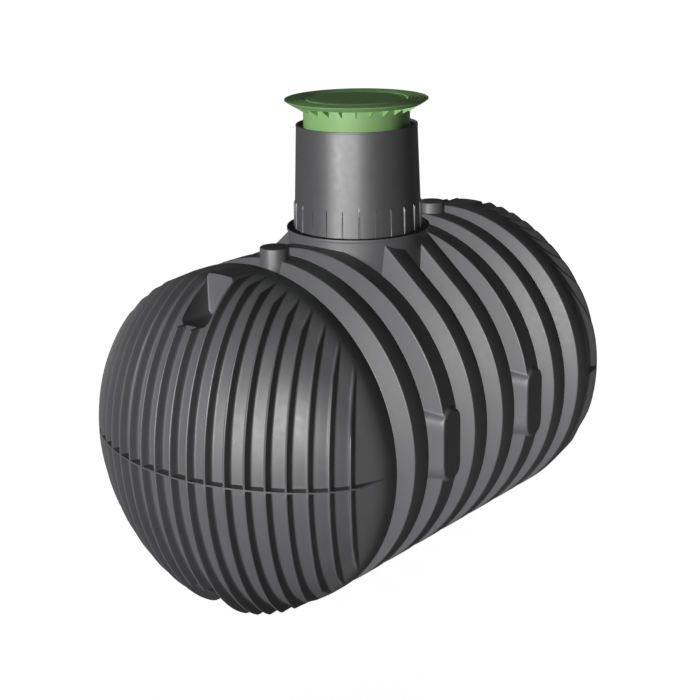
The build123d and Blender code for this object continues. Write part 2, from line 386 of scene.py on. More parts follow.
class NodeTree:
    """Short words for wiring the nodes of a material or of the world."""

    def __init__(
        self, owner: bpy.types.Material | bpy.types.World, shader: str = "Principled BSDF"
    ) -> None:
        """Turns on the owner's nodes and finds its shader.

        Args:
            owner: the material or the world.
            shader: the shader's name.
        """
        owner.use_nodes = True
        self.owner = owner
        self.tree = owner.node_tree
        self.shader = self.tree.nodes[shader]

    def feed(self, node: bpy.types.Node, inputs: Inputs) -> None:
        """Wires or sets inputs of a node.

        Args:
            node: the node.
            inputs: socket or value of each.
        """
        for key, value in inputs.items():
            if isinstance(value, Socket):
                self.tree.links.new(value, node.inputs[key])
            else:
                node.inputs[key].default_value = value

    def add(self, kind: str, inputs: Inputs, output: str | int = 0, **settings: object) -> Socket:
        """Adds a node.

        Args:
            kind: Blender's type of node.
            inputs: socket or value of each.
            output: the output that is wanted.
            settings: properties of the node.

        Returns:
            The output.
        """
        node = self.tree.nodes.new(kind)
        for key, value in settings.items():
            setattr(node, key, value)
        self.feed(node, inputs)
        return node.outputs[output]

    def fed(self, name: str) -> Socket:
        """What is wired to one of the shader's inputs."""
        return self.shader.inputs[name].links[0].from_socket

    @cached_property
    def place(self) -> Socket:
        """Place on the object in metres."""
        return self.add("ShaderNodeTexCoord", {}, "Object")

    def noise(self, scale: float, detail: float = 2.0, rough: float = 0.5) -> Socket:
        """Cloudy noise from 0 to 1.

        Args:
            scale: cycles per metre.
            detail: finer layers.
            rough: share of the finer layers.

        Returns:
            The noise.
        """
        inputs = {"Vector": self.place, "Scale": scale, "Detail": detail, "Roughness": rough}
        return self.add("ShaderNodeTexNoise", inputs, "Fac")

    def ranged(
        self, value: Socket, low: float, high: float, start: float = 0.3, end: float = 0.7
    ) -> Socket:
        """A value spread over a range.

        Args:
            value: the value.
            low: result at the start.
            high: result at the end.
            start: where the spread starts, by default for noise.
            end: where it ends.

        Returns:
            The spread value.
        """
        inputs = {"Value": value, "From Min": start, "From Max": end, "To Min": low, "To Max": high}
        return self.add("ShaderNodeMapRange", inputs, "Result")

    def mixed(
        self, value: Socket, low: Socket | tuple[float, ...], high: Socket | tuple[float, ...]
    ) -> Socket:
        """Colour between the first colour at 0 and the second at 1."""
        return self.add("ShaderNodeMix", {0: value, 6: low, 7: high}, 2, data_type="RGBA")

    def bump(
        self, height: Socket, depth: float, strength: float, under: Socket | None = None
    ) -> Socket:
        """Bump of a height field, over another bump where one is given.

        Args:
            height: the height field.
            depth: metres for a height of 1.
            strength: share of it that shows.
            under: the bump below it.

        Returns:
            The normal.
        """
        inputs = {"Strength": strength, "Distance": depth, "Height": height}
        if under is not None:
            inputs["Normal"] = under
        return self.add("ShaderNodeBump", inputs, "Normal")

    def math(self, operation: str, first: Socket, second: Socket | float = 0.0) -> Socket:
        """Arithmetic on one or two fields, by Blender's name of the operation."""
        return self.add("ShaderNodeMath", {0: first, 1: second}, operation=operation)


def linear(colour: tuple[int, int, int], shade: float = 1.0) -> tuple[float, ...]:
    """Linear colour of a display colour.

    Args:
        colour: red, green and blue from 0 to 255.
        shade: factor that darkens it.

    Returns:
        Red, green, blue and full alpha.
    """
    shares = [channel / 255 for channel in colour]
    bright = [s / 12.92 if s <= 0.04045 else ((s + 0.055) / 1.055) ** 2.4 for s in shares]
    return (*(channel * shade for channel in bright), 1.0)


@dataclass(frozen=True)
class Plastic:
    """Moulded plastic with cloudy colour, uneven gloss and a fine skin."""

    name: str
    colour: tuple[int, int, int]
    shade: float = 0.9
    roughness: tuple[float, float] = (0.43, 0.49)
    specular: float = 0.4
    skin_scale: float = 420.0
    skin_depth: float = 0.0002
    wave_depth: float = 0.0002
    cloud_scale: float = 3.5
    gloss_scale: float = 24.0
    wave_scale: float = 7.0
    skin_strength: float = 0.35
    wave_strength: float = 0.5

    def wired(self) -> NodeTree:
        """Wires colour, gloss and skin, and returns the tree for what a kind of plastic adds.

        Returns:
            The tree.
        """
        nodes = NodeTree(bpy.data.materials.new(self.name))
        cloud = nodes.ranged(nodes.noise(self.cloud_scale, detail=4.0, rough=0.55), 0, 1)
        wave = nodes.bump(nodes.noise(self.wave_scale, detail=1.0), self.wave_depth, self.wave_strength)
        fine = nodes.noise(self.skin_scale, detail=1.0)
        nodes.feed(nodes.shader, {
            "Base Color": nodes.mixed(cloud, linear(self.colour, self.shade), linear(self.colour)),
            "Roughness": nodes.ranged(nodes.noise(self.gloss_scale, detail=3.0), *self.roughness),
            "Specular IOR Level": self.specular,
            "Normal": nodes.bump(fine, self.skin_depth, self.skin_strength, wave),
        })
        return nodes

    def material(self) -> bpy.types.Material:
        """The finished material."""
        return self.wired().owner


@dataclass(frozen=True)
class TreadPlastic(Plastic):
    """Plastic with a fine tread of radial notches, for a cover that is walked on, with painted shade in
    dark rings.
    """

    notches: int = 240
    notch_depth: float = 0.0012
    ring_step: float = 0.024
    ring_painted_shade: float = 0.12
    notch_strength: float = 0.6
    notch_share: float = 0.6

    def material(self) -> bpy.types.Material:
        """Adds notches and dark rings of painted shade.

        The notches are sin(notches * angle round Z) as bump. The rings are sin(radius * a turn per
        ring step) plus a share of the notches, as a blend to a darker colour: painted shade of the tread's
        grooves.

        Returns:
            The finished material.
        """
        nodes = self.wired()
        x, y = (nodes.add("ShaderNodeSeparateXYZ", {0: nodes.place}, axis) for axis in "XY")
        turn = nodes.math("MULTIPLY", nodes.math("ARCTAN2", y, x), float(self.notches))
        notch = nodes.math("SINE", turn)
        squares = nodes.math("ADD", nodes.math("MULTIPLY", x, x), nodes.math("MULTIPLY", y, y))
        radius = nodes.math("SQRT", squares)
        ring = nodes.math("SINE", nodes.math("MULTIPLY", radius, TURN / self.ring_step))
        both = nodes.math("ADD", ring, nodes.math("MULTIPLY", notch, self.notch_share))
        # Dark rings and notch marks: painted shade of the tread's grooves, blended into the base colour.
        share = nodes.ranged(nodes.math("MULTIPLY", both, 0.5), 0, 1)
        painted_shade = linear(self.colour, self.ring_painted_shade)
        nodes.feed(nodes.shader, {
            "Base Color": nodes.mixed(share, nodes.fed("Base Color"), painted_shade),
            "Normal": nodes.bump(notch, self.notch_depth, self.notch_strength, nodes.fed("Normal")),
        })
        return nodes.owner


class Finishes:
    """The materials of the tank, made once."""

    def __init__(self) -> None:
        """Makes every material."""
        self.tank = Plastic("moulded_grey", (102, 102, 104), specular=0.55).material()
        self.shaft = Plastic("shaft_grey", (85, 85, 87), roughness=(0.42, 0.48), specular=0.85).material()
        self.rubber = Plastic("seal_rubber", (28, 28, 29), roughness=(0.6, 0.7), specular=0.3).material()
        green = Plastic("cover_green", (145, 192, 121), roughness=(0.38, 0.46), specular=0.6)
        self.green = green.material()
        self.tread = TreadPlastic("cover_tread", (124, 168, 104), roughness=(0.5, 0.6)).material()
        self.lid = Plastic("lid_green", (136, 186, 114), roughness=(0.5, 0.58)).material()


def dress(obj: bpy.types.Object, material: bpy.types.Material, body: Body, slot: str, *nodes: str) -> None:
    """Gives a piece its material and ties it to the frame.

    Args:
        obj: the finished piece.
        material: its finish.
        body: the body it moves with.
        slot: name of the material slot; not used.
        nodes: the CAD nodes it stands for.
    """
    obj.data.materials.append(material)
    if nodes:
        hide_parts(*nodes)
    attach(obj, body.value)
    log.info("%s: %d faces", obj.name, len(obj.data.polygons))


def paint_top(
    obj: bpy.types.Object, material: bpy.types.Material, height: float, radius: float = 0.0
) -> None:
    """Gives faces whose middle lies above a height and outside a radius a second material.

    Args:
        obj: the piece.
        material: its second material.
        height: least height above the ground.
        radius: least distance from the Z axis.
    """
    obj.data.materials.append(material)
    flat = np.empty(len(obj.data.polygons) * 3)
    obj.data.polygons.foreach_get("center", flat)
    x, y, z = flat.reshape(-1, 3).T
    chosen = (z > height) & (np.hypot(x, y) > radius)
    obj.data.polygons.foreach_set("material_index", chosen.astype(int))


@dataclass(frozen=True)
class RibSection:
    """Section of one rib: flat crown, drafted flanks and the valley beside it, in a thin wall."""

    crown_half: float = 0.067
    depth: float = 0.130
    draft: float = math.radians(10)
    crown_round: float = 0.008
    valley_round: float = 0.010
    wall: float = 0.011

    def corners(self, top: float, end: float, inner: bool) -> list[Corner]:
        """Corners from the middle of the crown to the valley's middle.

        Args:
            top: radius of the crown's outside.
            end: distance from the rib's middle to the valley's.
            inner: whether the line is the wall's inside, which lies a wall further in.

        Returns:
            Distance from the rib's middle, radius and rounding of each corner.
        """
        inset = self.wall * math.tan(math.pi / 4 - self.draft / 2) if inner else 0
        level = top - self.wall if inner else top
        crown = self.crown_half - inset
        foot = crown + self.depth * math.tan(self.draft)
        valley = level - self.depth
        return [
            (0, level, 0), (crown, level, self.crown_round), (foot, valley, self.valley_round),
            (end, valley, 0),
        ]


@dataclass
class Piece:
    """What each group of pieces is built from."""

    layout: Layout
    finishes: Finishes


@dataclass
class DomeEnd(Piece):
    """One end of the tank: last rib, dome with its fan of ribs, seam flange and two pockets."""

    side: Side
    rib: RibSection = RibSection(crown_round=0.009, valley_round=0.014)
    ribs: int = 20
    rib_step: float = math.radians(3.35)
    fan_offset: float = 0.25
    crest_half: float = 0.0065
    crest_runs: tuple[float, ...] = (-0.4, 0.0, 0.4, 0.7, 1.0, 1.4, 2.0, 3.0, 4.3)
    wall_run: float = 0.0045
    wall_share: float = 0.86
    wall_blend: float = 0.8
    root_start: float = 0.5
    root_runs: float = 2.5
    groove_depth: float = 0.054
    side_sink: float = 0.022
    sink_across: tuple[float, float] = (0.10, 0.70)
    sink_axial: tuple[float, float] = (0.02, 0.20)
    crest_clear: float = 0.0015
    crest_blend: float = 0.008
    flange_half: float = 0.005
    flange_drop: float = 0.0015
    flange_slope: float = 0.15
    pocket_half: float = 0.098
    pocket_inset: float = 0.197
    pocket_floor: float = 0.778
    pocket_corner: float = 0.034
    pocket_edge: float = 0.008
    pocket_blend: float = 0.024
    pocket_run: float = 0.045
    pocket_rise: tuple[float, float] = (0.80, 0.84)
    pocket_aside: float = 0.010
    pocket_behind: float = 0.017
    dense_from: float = 0.80
    rim_step: float = math.radians(1.3)
    inner_steps: int = 96

    def fan_distance(self) -> float:
        """From the fan's upright axis to the plane of the last rib."""
        return self.fan_offset + self.layout.last_rib_x

    def mean_reach(self) -> float:
        """From the fan's upright axis to the middle of the dome's depth."""
        return self.fan_distance() + self.layout.dome_depth * 0.5

    def columns(self) -> np.ndarray:
        """Fan angles of the grid's columns, close together on crests and groove walls.

        Returns:
            The angles, from -Y to +Y.
        """
        half = self.rib_step / 2
        lateral = (self.crest_half + np.array(self.crest_runs) * self.wall_run) / self.mean_reach()
        steps = np.concatenate([-lateral[::-1], [0], lateral, [half]])
        centres = (np.arange(self.ribs) - (self.ribs - 1) / 2) * self.rib_step
        fan = (centres[:, None] + steps).reshape(-1)
        fan = fan[fan < centres[-1] + lateral[-1] + 1e-6]
        rim_y = self.layout.crown_r / self.fan_distance()
        start = math.asin(math.tan(fan[-1]) / rim_y)
        count = int((HALF_PI - start) / self.rim_step)
        turn = np.linspace(start, HALF_PI, count + 1)[1:]
        outer = np.arctan(np.sin(turn) * rim_y)
        return np.concatenate([-outer[::-1], fan, outer])

    def rows(self) -> np.ndarray:
        """Shares of the way up from the flange to the rim, close together where grooves run out.

        Returns:
            The shares, from 0 to 1.
        """
        return np.concatenate([
            np.linspace(0, self.dense_from, 40), np.linspace(self.dense_from, 1, 24)[1:],
        ])

    def dome(self) -> tuple[np.ndarray, np.ndarray]:
        """Grid of the dome in axial distance, Y and height above the axis.

        Column j lies in the upright plane at fan angle a_j. On the ellipse that the grooves' floor
        makes in that plane, the point of row share t is at height z_b + (z_rim - z_b) sin(90 t). It
        moves out in the plane by the rise there, less a little towards the sides.

        Returns:
            The grid, rows from bottom rim to top rim, and the rim's Y and height per column.
        """
        depth, radius = self.layout.dome_depth - self.groove_depth, self.layout.crown_r
        far = self.fan_distance()
        angle = self.columns()[None]
        rim_y = far * np.tan(angle)
        rim_z = np.sqrt(np.clip(radius**2 - rim_y**2, 0, None))
        band = np.minimum(self.flange_half * (1 + self.flange_slope), rim_z)
        share = self.rows()[:, None]
        upper = band + (rim_z - band) * np.sin(share * HALF_PI)
        inner = np.minimum(self.flange_half * (1 - self.flange_slope), rim_z)
        height = np.concatenate([-upper[::-1], -inner, inner, upper])
        a = np.cos(angle) ** 2 / depth**2 + np.sin(angle) ** 2 / radius**2
        b = far * np.cos(angle) / depth**2
        c = far**2 / depth**2 + height**2 / radius**2 - 1
        reach = (b + np.sqrt(np.clip(b**2 - a * c, 0, None))) / a
        axial = np.clip(reach * np.cos(angle) - far, 0, None)
        across = reach * np.sin(angle)
        slope = np.stack([axial / depth**2, across / radius**2, height / radius**2])
        slope = slope / np.linalg.norm(slope, axis=0)
        outward = slope[0] * np.cos(angle) + slope[1] * np.sin(angle)
        spread = np.hypot(across, height)
        room = (radius - self.crest_clear - spread) / np.hypot(slope[1], slope[2])
        sunk = smooth_step(np.abs(across), *self.sink_across) * smooth_step(axial, *self.sink_axial)
        rise = self.rise(angle, axial, across, height, np.clip(room, 0, None)) - self.side_sink * sunk
        rise = rise / np.hypot(outward, slope[2])
        reach = reach + rise * outward
        points = np.stack([
            reach * np.cos(angle) - far, reach * np.sin(angle), height + rise * slope[2],
        ], axis=-1)
        return points, np.stack([rim_y[0], rim_z[0]], axis=-1)

    def rise(
        self, angle: np.ndarray, axial: np.ndarray, across: np.ndarray, height: np.ndarray, room: np.ndarray
    ) -> np.ndarray:
        """How far the surface stands off the grooves' floor.

        A rib stands off by the groove's depth, less a steep wall and a curved root beside it, and
        no further than the room left inside the crown's cylinder, where it runs out. Behind a pocket
        the surface is that cylinder. The seam flange stands off as far as a rib.

        Args:
            angle: fan angle of each column.
            axial: distance out from the last rib.
            across: place along Y.
            height: height above the axis.
            room: distance to the crown's cylinder.

        Returns:
            The rise at each point.
        """
        middle = (self.ribs - 1) / 2
        nearest = np.clip(np.round(angle / self.rib_step + middle), 0, self.ribs - 1) - middle
        lateral = self.mean_reach() * np.abs(np.sin(angle - nearest * self.rib_step))
        runs = (lateral - self.crest_half) / self.wall_run
        wall = smooth_min(smooth_max(runs, 0.0, self.wall_blend), 1.0, self.wall_blend)
        root = 1 - (1 - np.clip((runs - self.root_start) / self.root_runs, 0, 1)) ** 2
        share = self.wall_share * wall + (1 - self.wall_share) * root
        share = np.where(np.abs(height) < self.flange_half, 0, share)
        crest = smooth_min(np.full(room.shape, self.groove_depth), room, self.crest_blend)
        side, back = self.pocket_half - self.pocket_aside, self.pocket_inset - self.pocket_behind
        aside = smooth_step(np.abs(across), side, side + self.pocket_blend)
        out = smooth_step(axial, back, back + self.pocket_run)
        behind = smooth_step(np.abs(height), *self.pocket_rise) * (1 - aside) * (1 - out)
        share = share * (1 - behind)
        crest = crest + (room - crest) * behind
        flange = np.where(np.abs(height) < self.flange_half, self.flange_drop, 0)
        return np.clip(crest - flange, 0, None) * (1 - share)

    def rib_line(self, inner: bool = False) -> np.ndarray:
        """Section of the last rib from the rim to the valley's middle, in axial distance and radius.

        Args:
            inner: whether it is the wall's inside.

        Returns:
            The rounded line.
        """
        corners = self.rib.corners(self.layout.crown_r, self.layout.pitch / 2, inner)
        outward = [(-along, radius, rounding) for along, radius, rounding in corners]
        return rounded_line(outward, closed=False)

    def placed(self, points: np.ndarray) -> np.ndarray:
        """Turns axial distance, Y and height above the axis into the frame's metres.

        Args:
            points: points in their last axis.

        Returns:
            The same points in the frame.
        """
        sign = self.side.value
        x = sign * (self.layout.last_rib_x + points[..., 0])
        return np.stack([x, points[..., 1], points[..., 2] + self.layout.axis_z], axis=-1)

    def solid(self) -> bpy.types.Object:
        """Makes the outside of the end, closed by a flat face in the valley's middle.

        Returns:
            The closed outside.
        """
        skin = Skin(f"{self.side.name.lower()}_end_skin")
        dome, rim = self.dome()
        skin.grid(self.placed(dome))
        around = np.concatenate([rim, np.stack([rim[-2:0:-1, 0], -rim[-2:0:-1, 1]], axis=-1)])
        barrel = carried(self.rib_line(), around / self.layout.crown_r)
        skin.face(skin.grid(self.placed(barrel), wrap=True)[-1])
        return skin.build()

    def cavity(self) -> bpy.types.Object:
        """Makes the space inside the end's wall, which runs out past its flat face.

        Returns:
            The closed space.
        """
        skin = Skin("cavity_cutter")
        turn = np.linspace(0, HALF_PI, 14)
        long = self.layout.dome_depth - self.groove_depth - self.rib.wall
        round_r = self.layout.crown_r - self.groove_depth - self.rib.wall
        cap = np.stack([long * np.sin(turn), round_r * np.cos(turn)], axis=-1)
        line = self.rib_line(inner=True)[::-1]
        past = line[:1] - [self.rib.wall, 0]
        space = carried(np.concatenate([past, line, cap]), unit_points(full_turn(self.inner_steps)))
        skin.face(skin.grid(self.placed(space), wrap=True)[0])
        return cut(skin.build(), *(self.pocket_cutter(up, self.rib.wall) for up in (1, -1)))

    def build_skin(self) -> bpy.types.Object:
        """Makes the closed shell with its two pockets."""
        return cut(self.solid(), self.pocket_cutter(1), self.pocket_cutter(-1), self.cavity())

    def pocket_cutter(self, up: int, grow: float = 0.0) -> bpy.types.Object:
        """Block with rounded corners that leaves a pocket.

        Args:
            up: 1 for the pocket above, -1 for the one below.
            grow: how much larger the block is all round, for the space behind the pocket's wall.

        Returns:
            The closed block.
        """
        skin = Skin("pocket_cutter")
        turn = np.linspace(0, HALF_PI, 5)
        edge = self.pocket_edge
        insets = np.concatenate([edge * (1 - np.sin(turn)), [0]]) - grow
        depths = np.concatenate([
            self.pocket_inset - grow + edge * (1 - np.cos(turn)), [2 * self.layout.dome_depth],
        ])
        loops = []
        for inset, depth in zip(insets, depths):
            half = self.pocket_half - inset
            floor = self.pocket_floor + inset
            corner = self.pocket_corner - inset
            top = 2 * self.layout.crown_r - inset
            loop = rounded_line([
                (-half, floor, corner), (half, floor, corner), (half, top, 0), (-half, top, 0),
            ])
            loops.append(np.stack([np.full(len(loop), depth), loop[:, 0], loop[:, 1] * up], axis=-1))
        numbers = skin.grid(self.placed(np.stack(loops)), wrap=True)
        skin.caps(numbers)
        return skin.build()

    def build(self) -> None:
        """Builds and dresses this end."""
        name = self.side.name.lower()
        nodes = [f"{name}_end_upper", f"{name}_end_lower", f"{name}_seam_flange"]
        dress(self.build_skin(), self.finishes.tank, Body.TANK, "tank_plastic", *nodes)


@dataclass
class RibbedHoop(Piece):
    """One ribbed hoop of the barrel, with its side pads and foot where it has them."""

    index: int
    ribs: int = 8
    rib: RibSection = RibSection()
    shoulder: tuple[float, float] = (math.radians(14), math.radians(41.5))
    pad_half_length: float = 0.215
    pad_half_width: float = 0.085
    pad_corner: float = 0.082
    pad_draft: float = math.radians(12)
    pad_blend: float = 0.012
    pad_fillet: float = 0.020
    pad_edges: tuple[float, float] = (math.radians(9.5), math.radians(18))
    pad_facing: float = 0.5
    pad_search: tuple[float, float] = (0.5, 1.3)
    steps: int = 240
    inner_steps: int = 72
    gap: float = 0.0003

    def has_pads(self) -> bool:
        """Whether this is the third rib from an end."""
        return self.index in (2, self.ribs - 3)

    def middle_x(self) -> float:
        """Place of the rib's middle along the tank."""
        return (self.index - (self.ribs - 1) / 2) * self.layout.pitch

    def section(self, inner: bool = False) -> np.ndarray:
        """Section of the rib from valley to valley: place along X from its middle, and radius.

        Args:
            inner: whether it is the wall's inside.

        Returns:
            The rounded line.
        """
        half = self.rib.corners(self.layout.crown_r, self.layout.pitch / 2, inner)[1:]
        mirrored = [(-along, radius, rounding) for along, radius, rounding in half[::-1]]
        return rounded_line(mirrored + half, closed=False, steps=5)

    def finer(self, line: np.ndarray) -> np.ndarray:
        """Adds points along a section's straight stretches, so that pads can rise from them.

        Args:
            line: the section.

        Returns:
            The section with more points.
        """
        place = np.concatenate([[0], np.cumsum(np.hypot(*np.diff(line, axis=0).T))])
        even = np.linspace(0, place[-1], 66)
        every = np.unique(np.round(np.concatenate([place, even]), 6))
        return np.stack([np.interp(every, place, values) for values in line.T], axis=-1)

    def turns(self) -> np.ndarray:
        """Angles round the axis from +Y towards +Z, close together at the ends of pads.

        Returns:
            The angles, rising.
        """
        even = full_turn(self.steps)
        if not self.has_pads():
            return even
        near = np.linspace(*self.pad_edges, 22)
        ends = np.concatenate([near, -near])
        extra = np.concatenate([ends, ends + math.pi, ends - HALF_PI]) % TURN
        return np.unique(np.round(np.concatenate([even, extra]), 5))

    def pad_radius(self, x: np.ndarray, turn: np.ndarray, direction: float) -> np.ndarray:
        """Radius of a pad's surface along each ray, found by halving.

        A ray at angle t from the pad's own direction is inside while both its height r cos t is under
        the face, and its distance outside the rounded rectangle is under the draft's spread.

        Args:
            x: place along the tank from the rib's middle.
            turn: angle round the axis.
            direction: angle that the pad faces.

        Returns:
            The radius where each ray leaves the pad.
        """
        off = (turn - direction + math.pi) % TURN - math.pi
        off = np.clip(off, -1.2, 1.2)
        cosine, sine = np.cos(off), np.abs(np.sin(off))
        spread = math.tan(self.pad_draft)
        low, high = (np.full(np.broadcast(x, turn).shape, end) for end in self.pad_search)
        for _ in range(30):
            radius = (low + high) / 2
            drop = self.layout.crown_r - radius * cosine
            wide = np.maximum(np.abs(x) - self.pad_half_width + self.pad_corner, 0)
            long = np.maximum(radius * sine - self.pad_half_length + self.pad_corner, 0)
            side = drop * spread - (np.hypot(wide, long) - self.pad_corner)
            inside = smooth_min(drop, side / math.hypot(1, spread), self.pad_blend) > 0
            low = np.where(inside, radius, low)
            high = np.where(inside, high, radius)
        return (low + high) / 2

    def outer(self) -> np.ndarray:
        """Grid of place along X, Y and height: the section's radius, or the pads' where it is greater.

        Returns:
            The grid, section by angles by 3.
        """
        line = self.section()
        if self.has_pads():
            line = self.finer(line)
        turn = self.turns()[None]
        x, radius = line[:, :1], line[:, 1:] * np.ones_like(turn)
        if self.has_pads():
            for direction in (0, math.pi, -HALF_PI):
                pad = self.pad_radius(x, turn, direction)
                off = np.cos(turn - direction)
                facing = off > self.pad_facing
                face = self.layout.crown_r / np.where(facing, off, 1)
                limit = np.maximum(np.where(facing, face, 0), radius)
                radius = np.minimum(smooth_max(radius, pad, self.pad_fillet), limit)
        if self.has_shoulders():
            radius = self.raised(radius, turn)
        return np.stack([x * np.ones_like(turn), radius * np.cos(turn), radius * np.sin(turn)], axis=-1)

    def has_shoulders(self) -> bool:
        """Whether this is one of the two middle ribs, which meet the neck from the side."""
        return self.index in (self.ribs // 2 - 1, self.ribs // 2)

    def raised(self, radius: np.ndarray, turn: np.ndarray) -> np.ndarray:
        """Straightens the rib towards the neck.

        From the shoulder's angle inwards the crown runs on along its tangent, at radius
        crown / cos(angle left), and the flank is stretched to follow it from the valley.

        Args:
            radius: radius of each point.
            turn: angle round the axis from +Y towards +Z.

        Returns:
            The new radius.
        """
        inner, outer = self.shoulder
        off_top = np.abs((turn + HALF_PI) % TURN - math.pi)
        left = outer - np.clip(off_top, inner, outer)
        lift = self.layout.crown_r * (1 / np.cos(left) - 1)
        valley = self.layout.crown_r - self.rib.depth
        return radius + lift * np.clip((radius - valley) / self.rib.depth, 0, 1)

    def build_skin(self) -> bpy.types.Object:
        """Makes the closed hoop: outer grid, inner grid and a flat ring at each end.

        Returns:
            The hoop, with its opening for neck or stub.
        """
        skin = Skin(f"hoop_{self.index}_skin")
        shift = np.array([self.middle_x(), 0, self.layout.axis_z])
        grid = self.outer()
        outer = skin.grid(grid + shift, wrap=True)
        line = self.section(inner=True)
        turn = self.turns()
        coarse = turn[Skin.shares(len(turn), self.inner_steps)[:-1]]
        inner = skin.grid(carried(line, unit_points(coarse)) + shift, wrap=True)
        skin.bridge(outer[0], inner[0])
        skin.bridge(outer[-1], inner[-1])
        obj = skin.build()
        reach = self.layout.neck_r + self.gap
        half_pitch = self.layout.pitch / 2
        if abs(self.middle_x()) - half_pitch < reach:
            cut(obj, self.bore(reach, 0.0))
        elif abs(abs(self.middle_x()) - self.layout.stub_x) < half_pitch:
            x = math.copysign(self.layout.stub_x, self.middle_x())
            cut(obj, self.bore(self.layout.stub_r + self.gap, x))
        return obj

    def bore(self, radius: float, x: float) -> bpy.types.Object:
        """Upright round cutter from the tank's axis up.

        Args:
            radius: the cutter's radius.
            x: its place along the tank.

        Returns:
            The closed cutter.
        """
        skin = Skin("bore_cutter")
        low, high = self.layout.axis_z, self.layout.axis_z + 1.5 * self.layout.crown_r
        grid = turned(np.array([[radius, low], [radius, high]]), full_turn(160)) + np.array([x, 0, 0])
        skin.caps(skin.grid(grid, wrap=True))
        return skin.build()

    def build(self) -> None:
        """Builds and dresses this hoop."""
        nodes = [f"hoop_{self.index}_upper", f"hoop_{self.index}_lower"]
        dress(self.build_skin(), self.finishes.tank, Body.TANK, "tank_plastic", *nodes)


@dataclass
class PipeStub(Piece):
    """Closed pipe stub on top of the barrel."""

    side: Side
    foot: float = 0.86
    wall: float = 0.011
    edge: float = 0.006

    def build(self) -> None:
        """Builds and dresses this stub."""
        name = self.side.name.lower()
        radius, top = self.layout.stub_r, self.layout.stub_top
        inside, under = radius - self.wall, top - self.wall
        low = self.layout.axis_z + self.foot
        stub = lathe(f"{name}_stub_skin", [
            (0, top, 0), (radius, top, self.edge), (radius, low, 0), (inside, low, 0),
            (inside, under, 0), (0, under, 0),
        ], 96, closed=False, x=self.side.value * self.layout.stub_x)
        dress(stub, self.finishes.tank, Body.TANK, "tank_plastic", f"{name}_pipe_stub")


@dataclass
class Neck(Piece):
    """Neck on the barrel with its thick collar."""

    foot: float = 0.80
    edge: float = 0.005
    ledge_width: float = 0.015
    ledge_thickness: float = 0.015
    bore_edge: float = 0.002
    lip_and_shade_band: float = 0.004

    def build(self) -> None:
        """Builds and dresses the neck wall and the collar."""
        size = self.layout
        bore = size.neck_r - size.neck_wall
        low = size.axis_z + self.foot
        ledge = size.shaft_foot
        ledge_r, under = bore - self.ledge_width, ledge - self.ledge_thickness
        wall = lathe("neck_wall_skin", [
            (size.neck_r, low, 0), (size.neck_r, size.collar_low, 0), (bore, size.collar_low, 0),
            (bore, ledge, 0), (ledge_r, ledge, 0), (ledge_r, under, 0), (bore, under, 0), (bore, low, 0),
        ])
        dress(wall, self.finishes.tank, Body.TANK, "tank_plastic", "neck_tower")
        collar = lathe("collar_skin", [
            (bore, size.collar_low, 0), (size.collar_r, size.collar_low, self.edge),
            (size.collar_r, size.collar_top, self.edge), (bore, size.collar_top, self.bore_edge),
        ])
        dress(collar, self.finishes.tank, Body.TANK, "tank_plastic", "neck_collar")
        # The collar's top is painted in the seal's black rubber: partly the seal's lip, partly painted
        # shade on this upward face.
        paint_top(collar, self.finishes.rubber, size.collar_top - self.lip_and_shade_band)


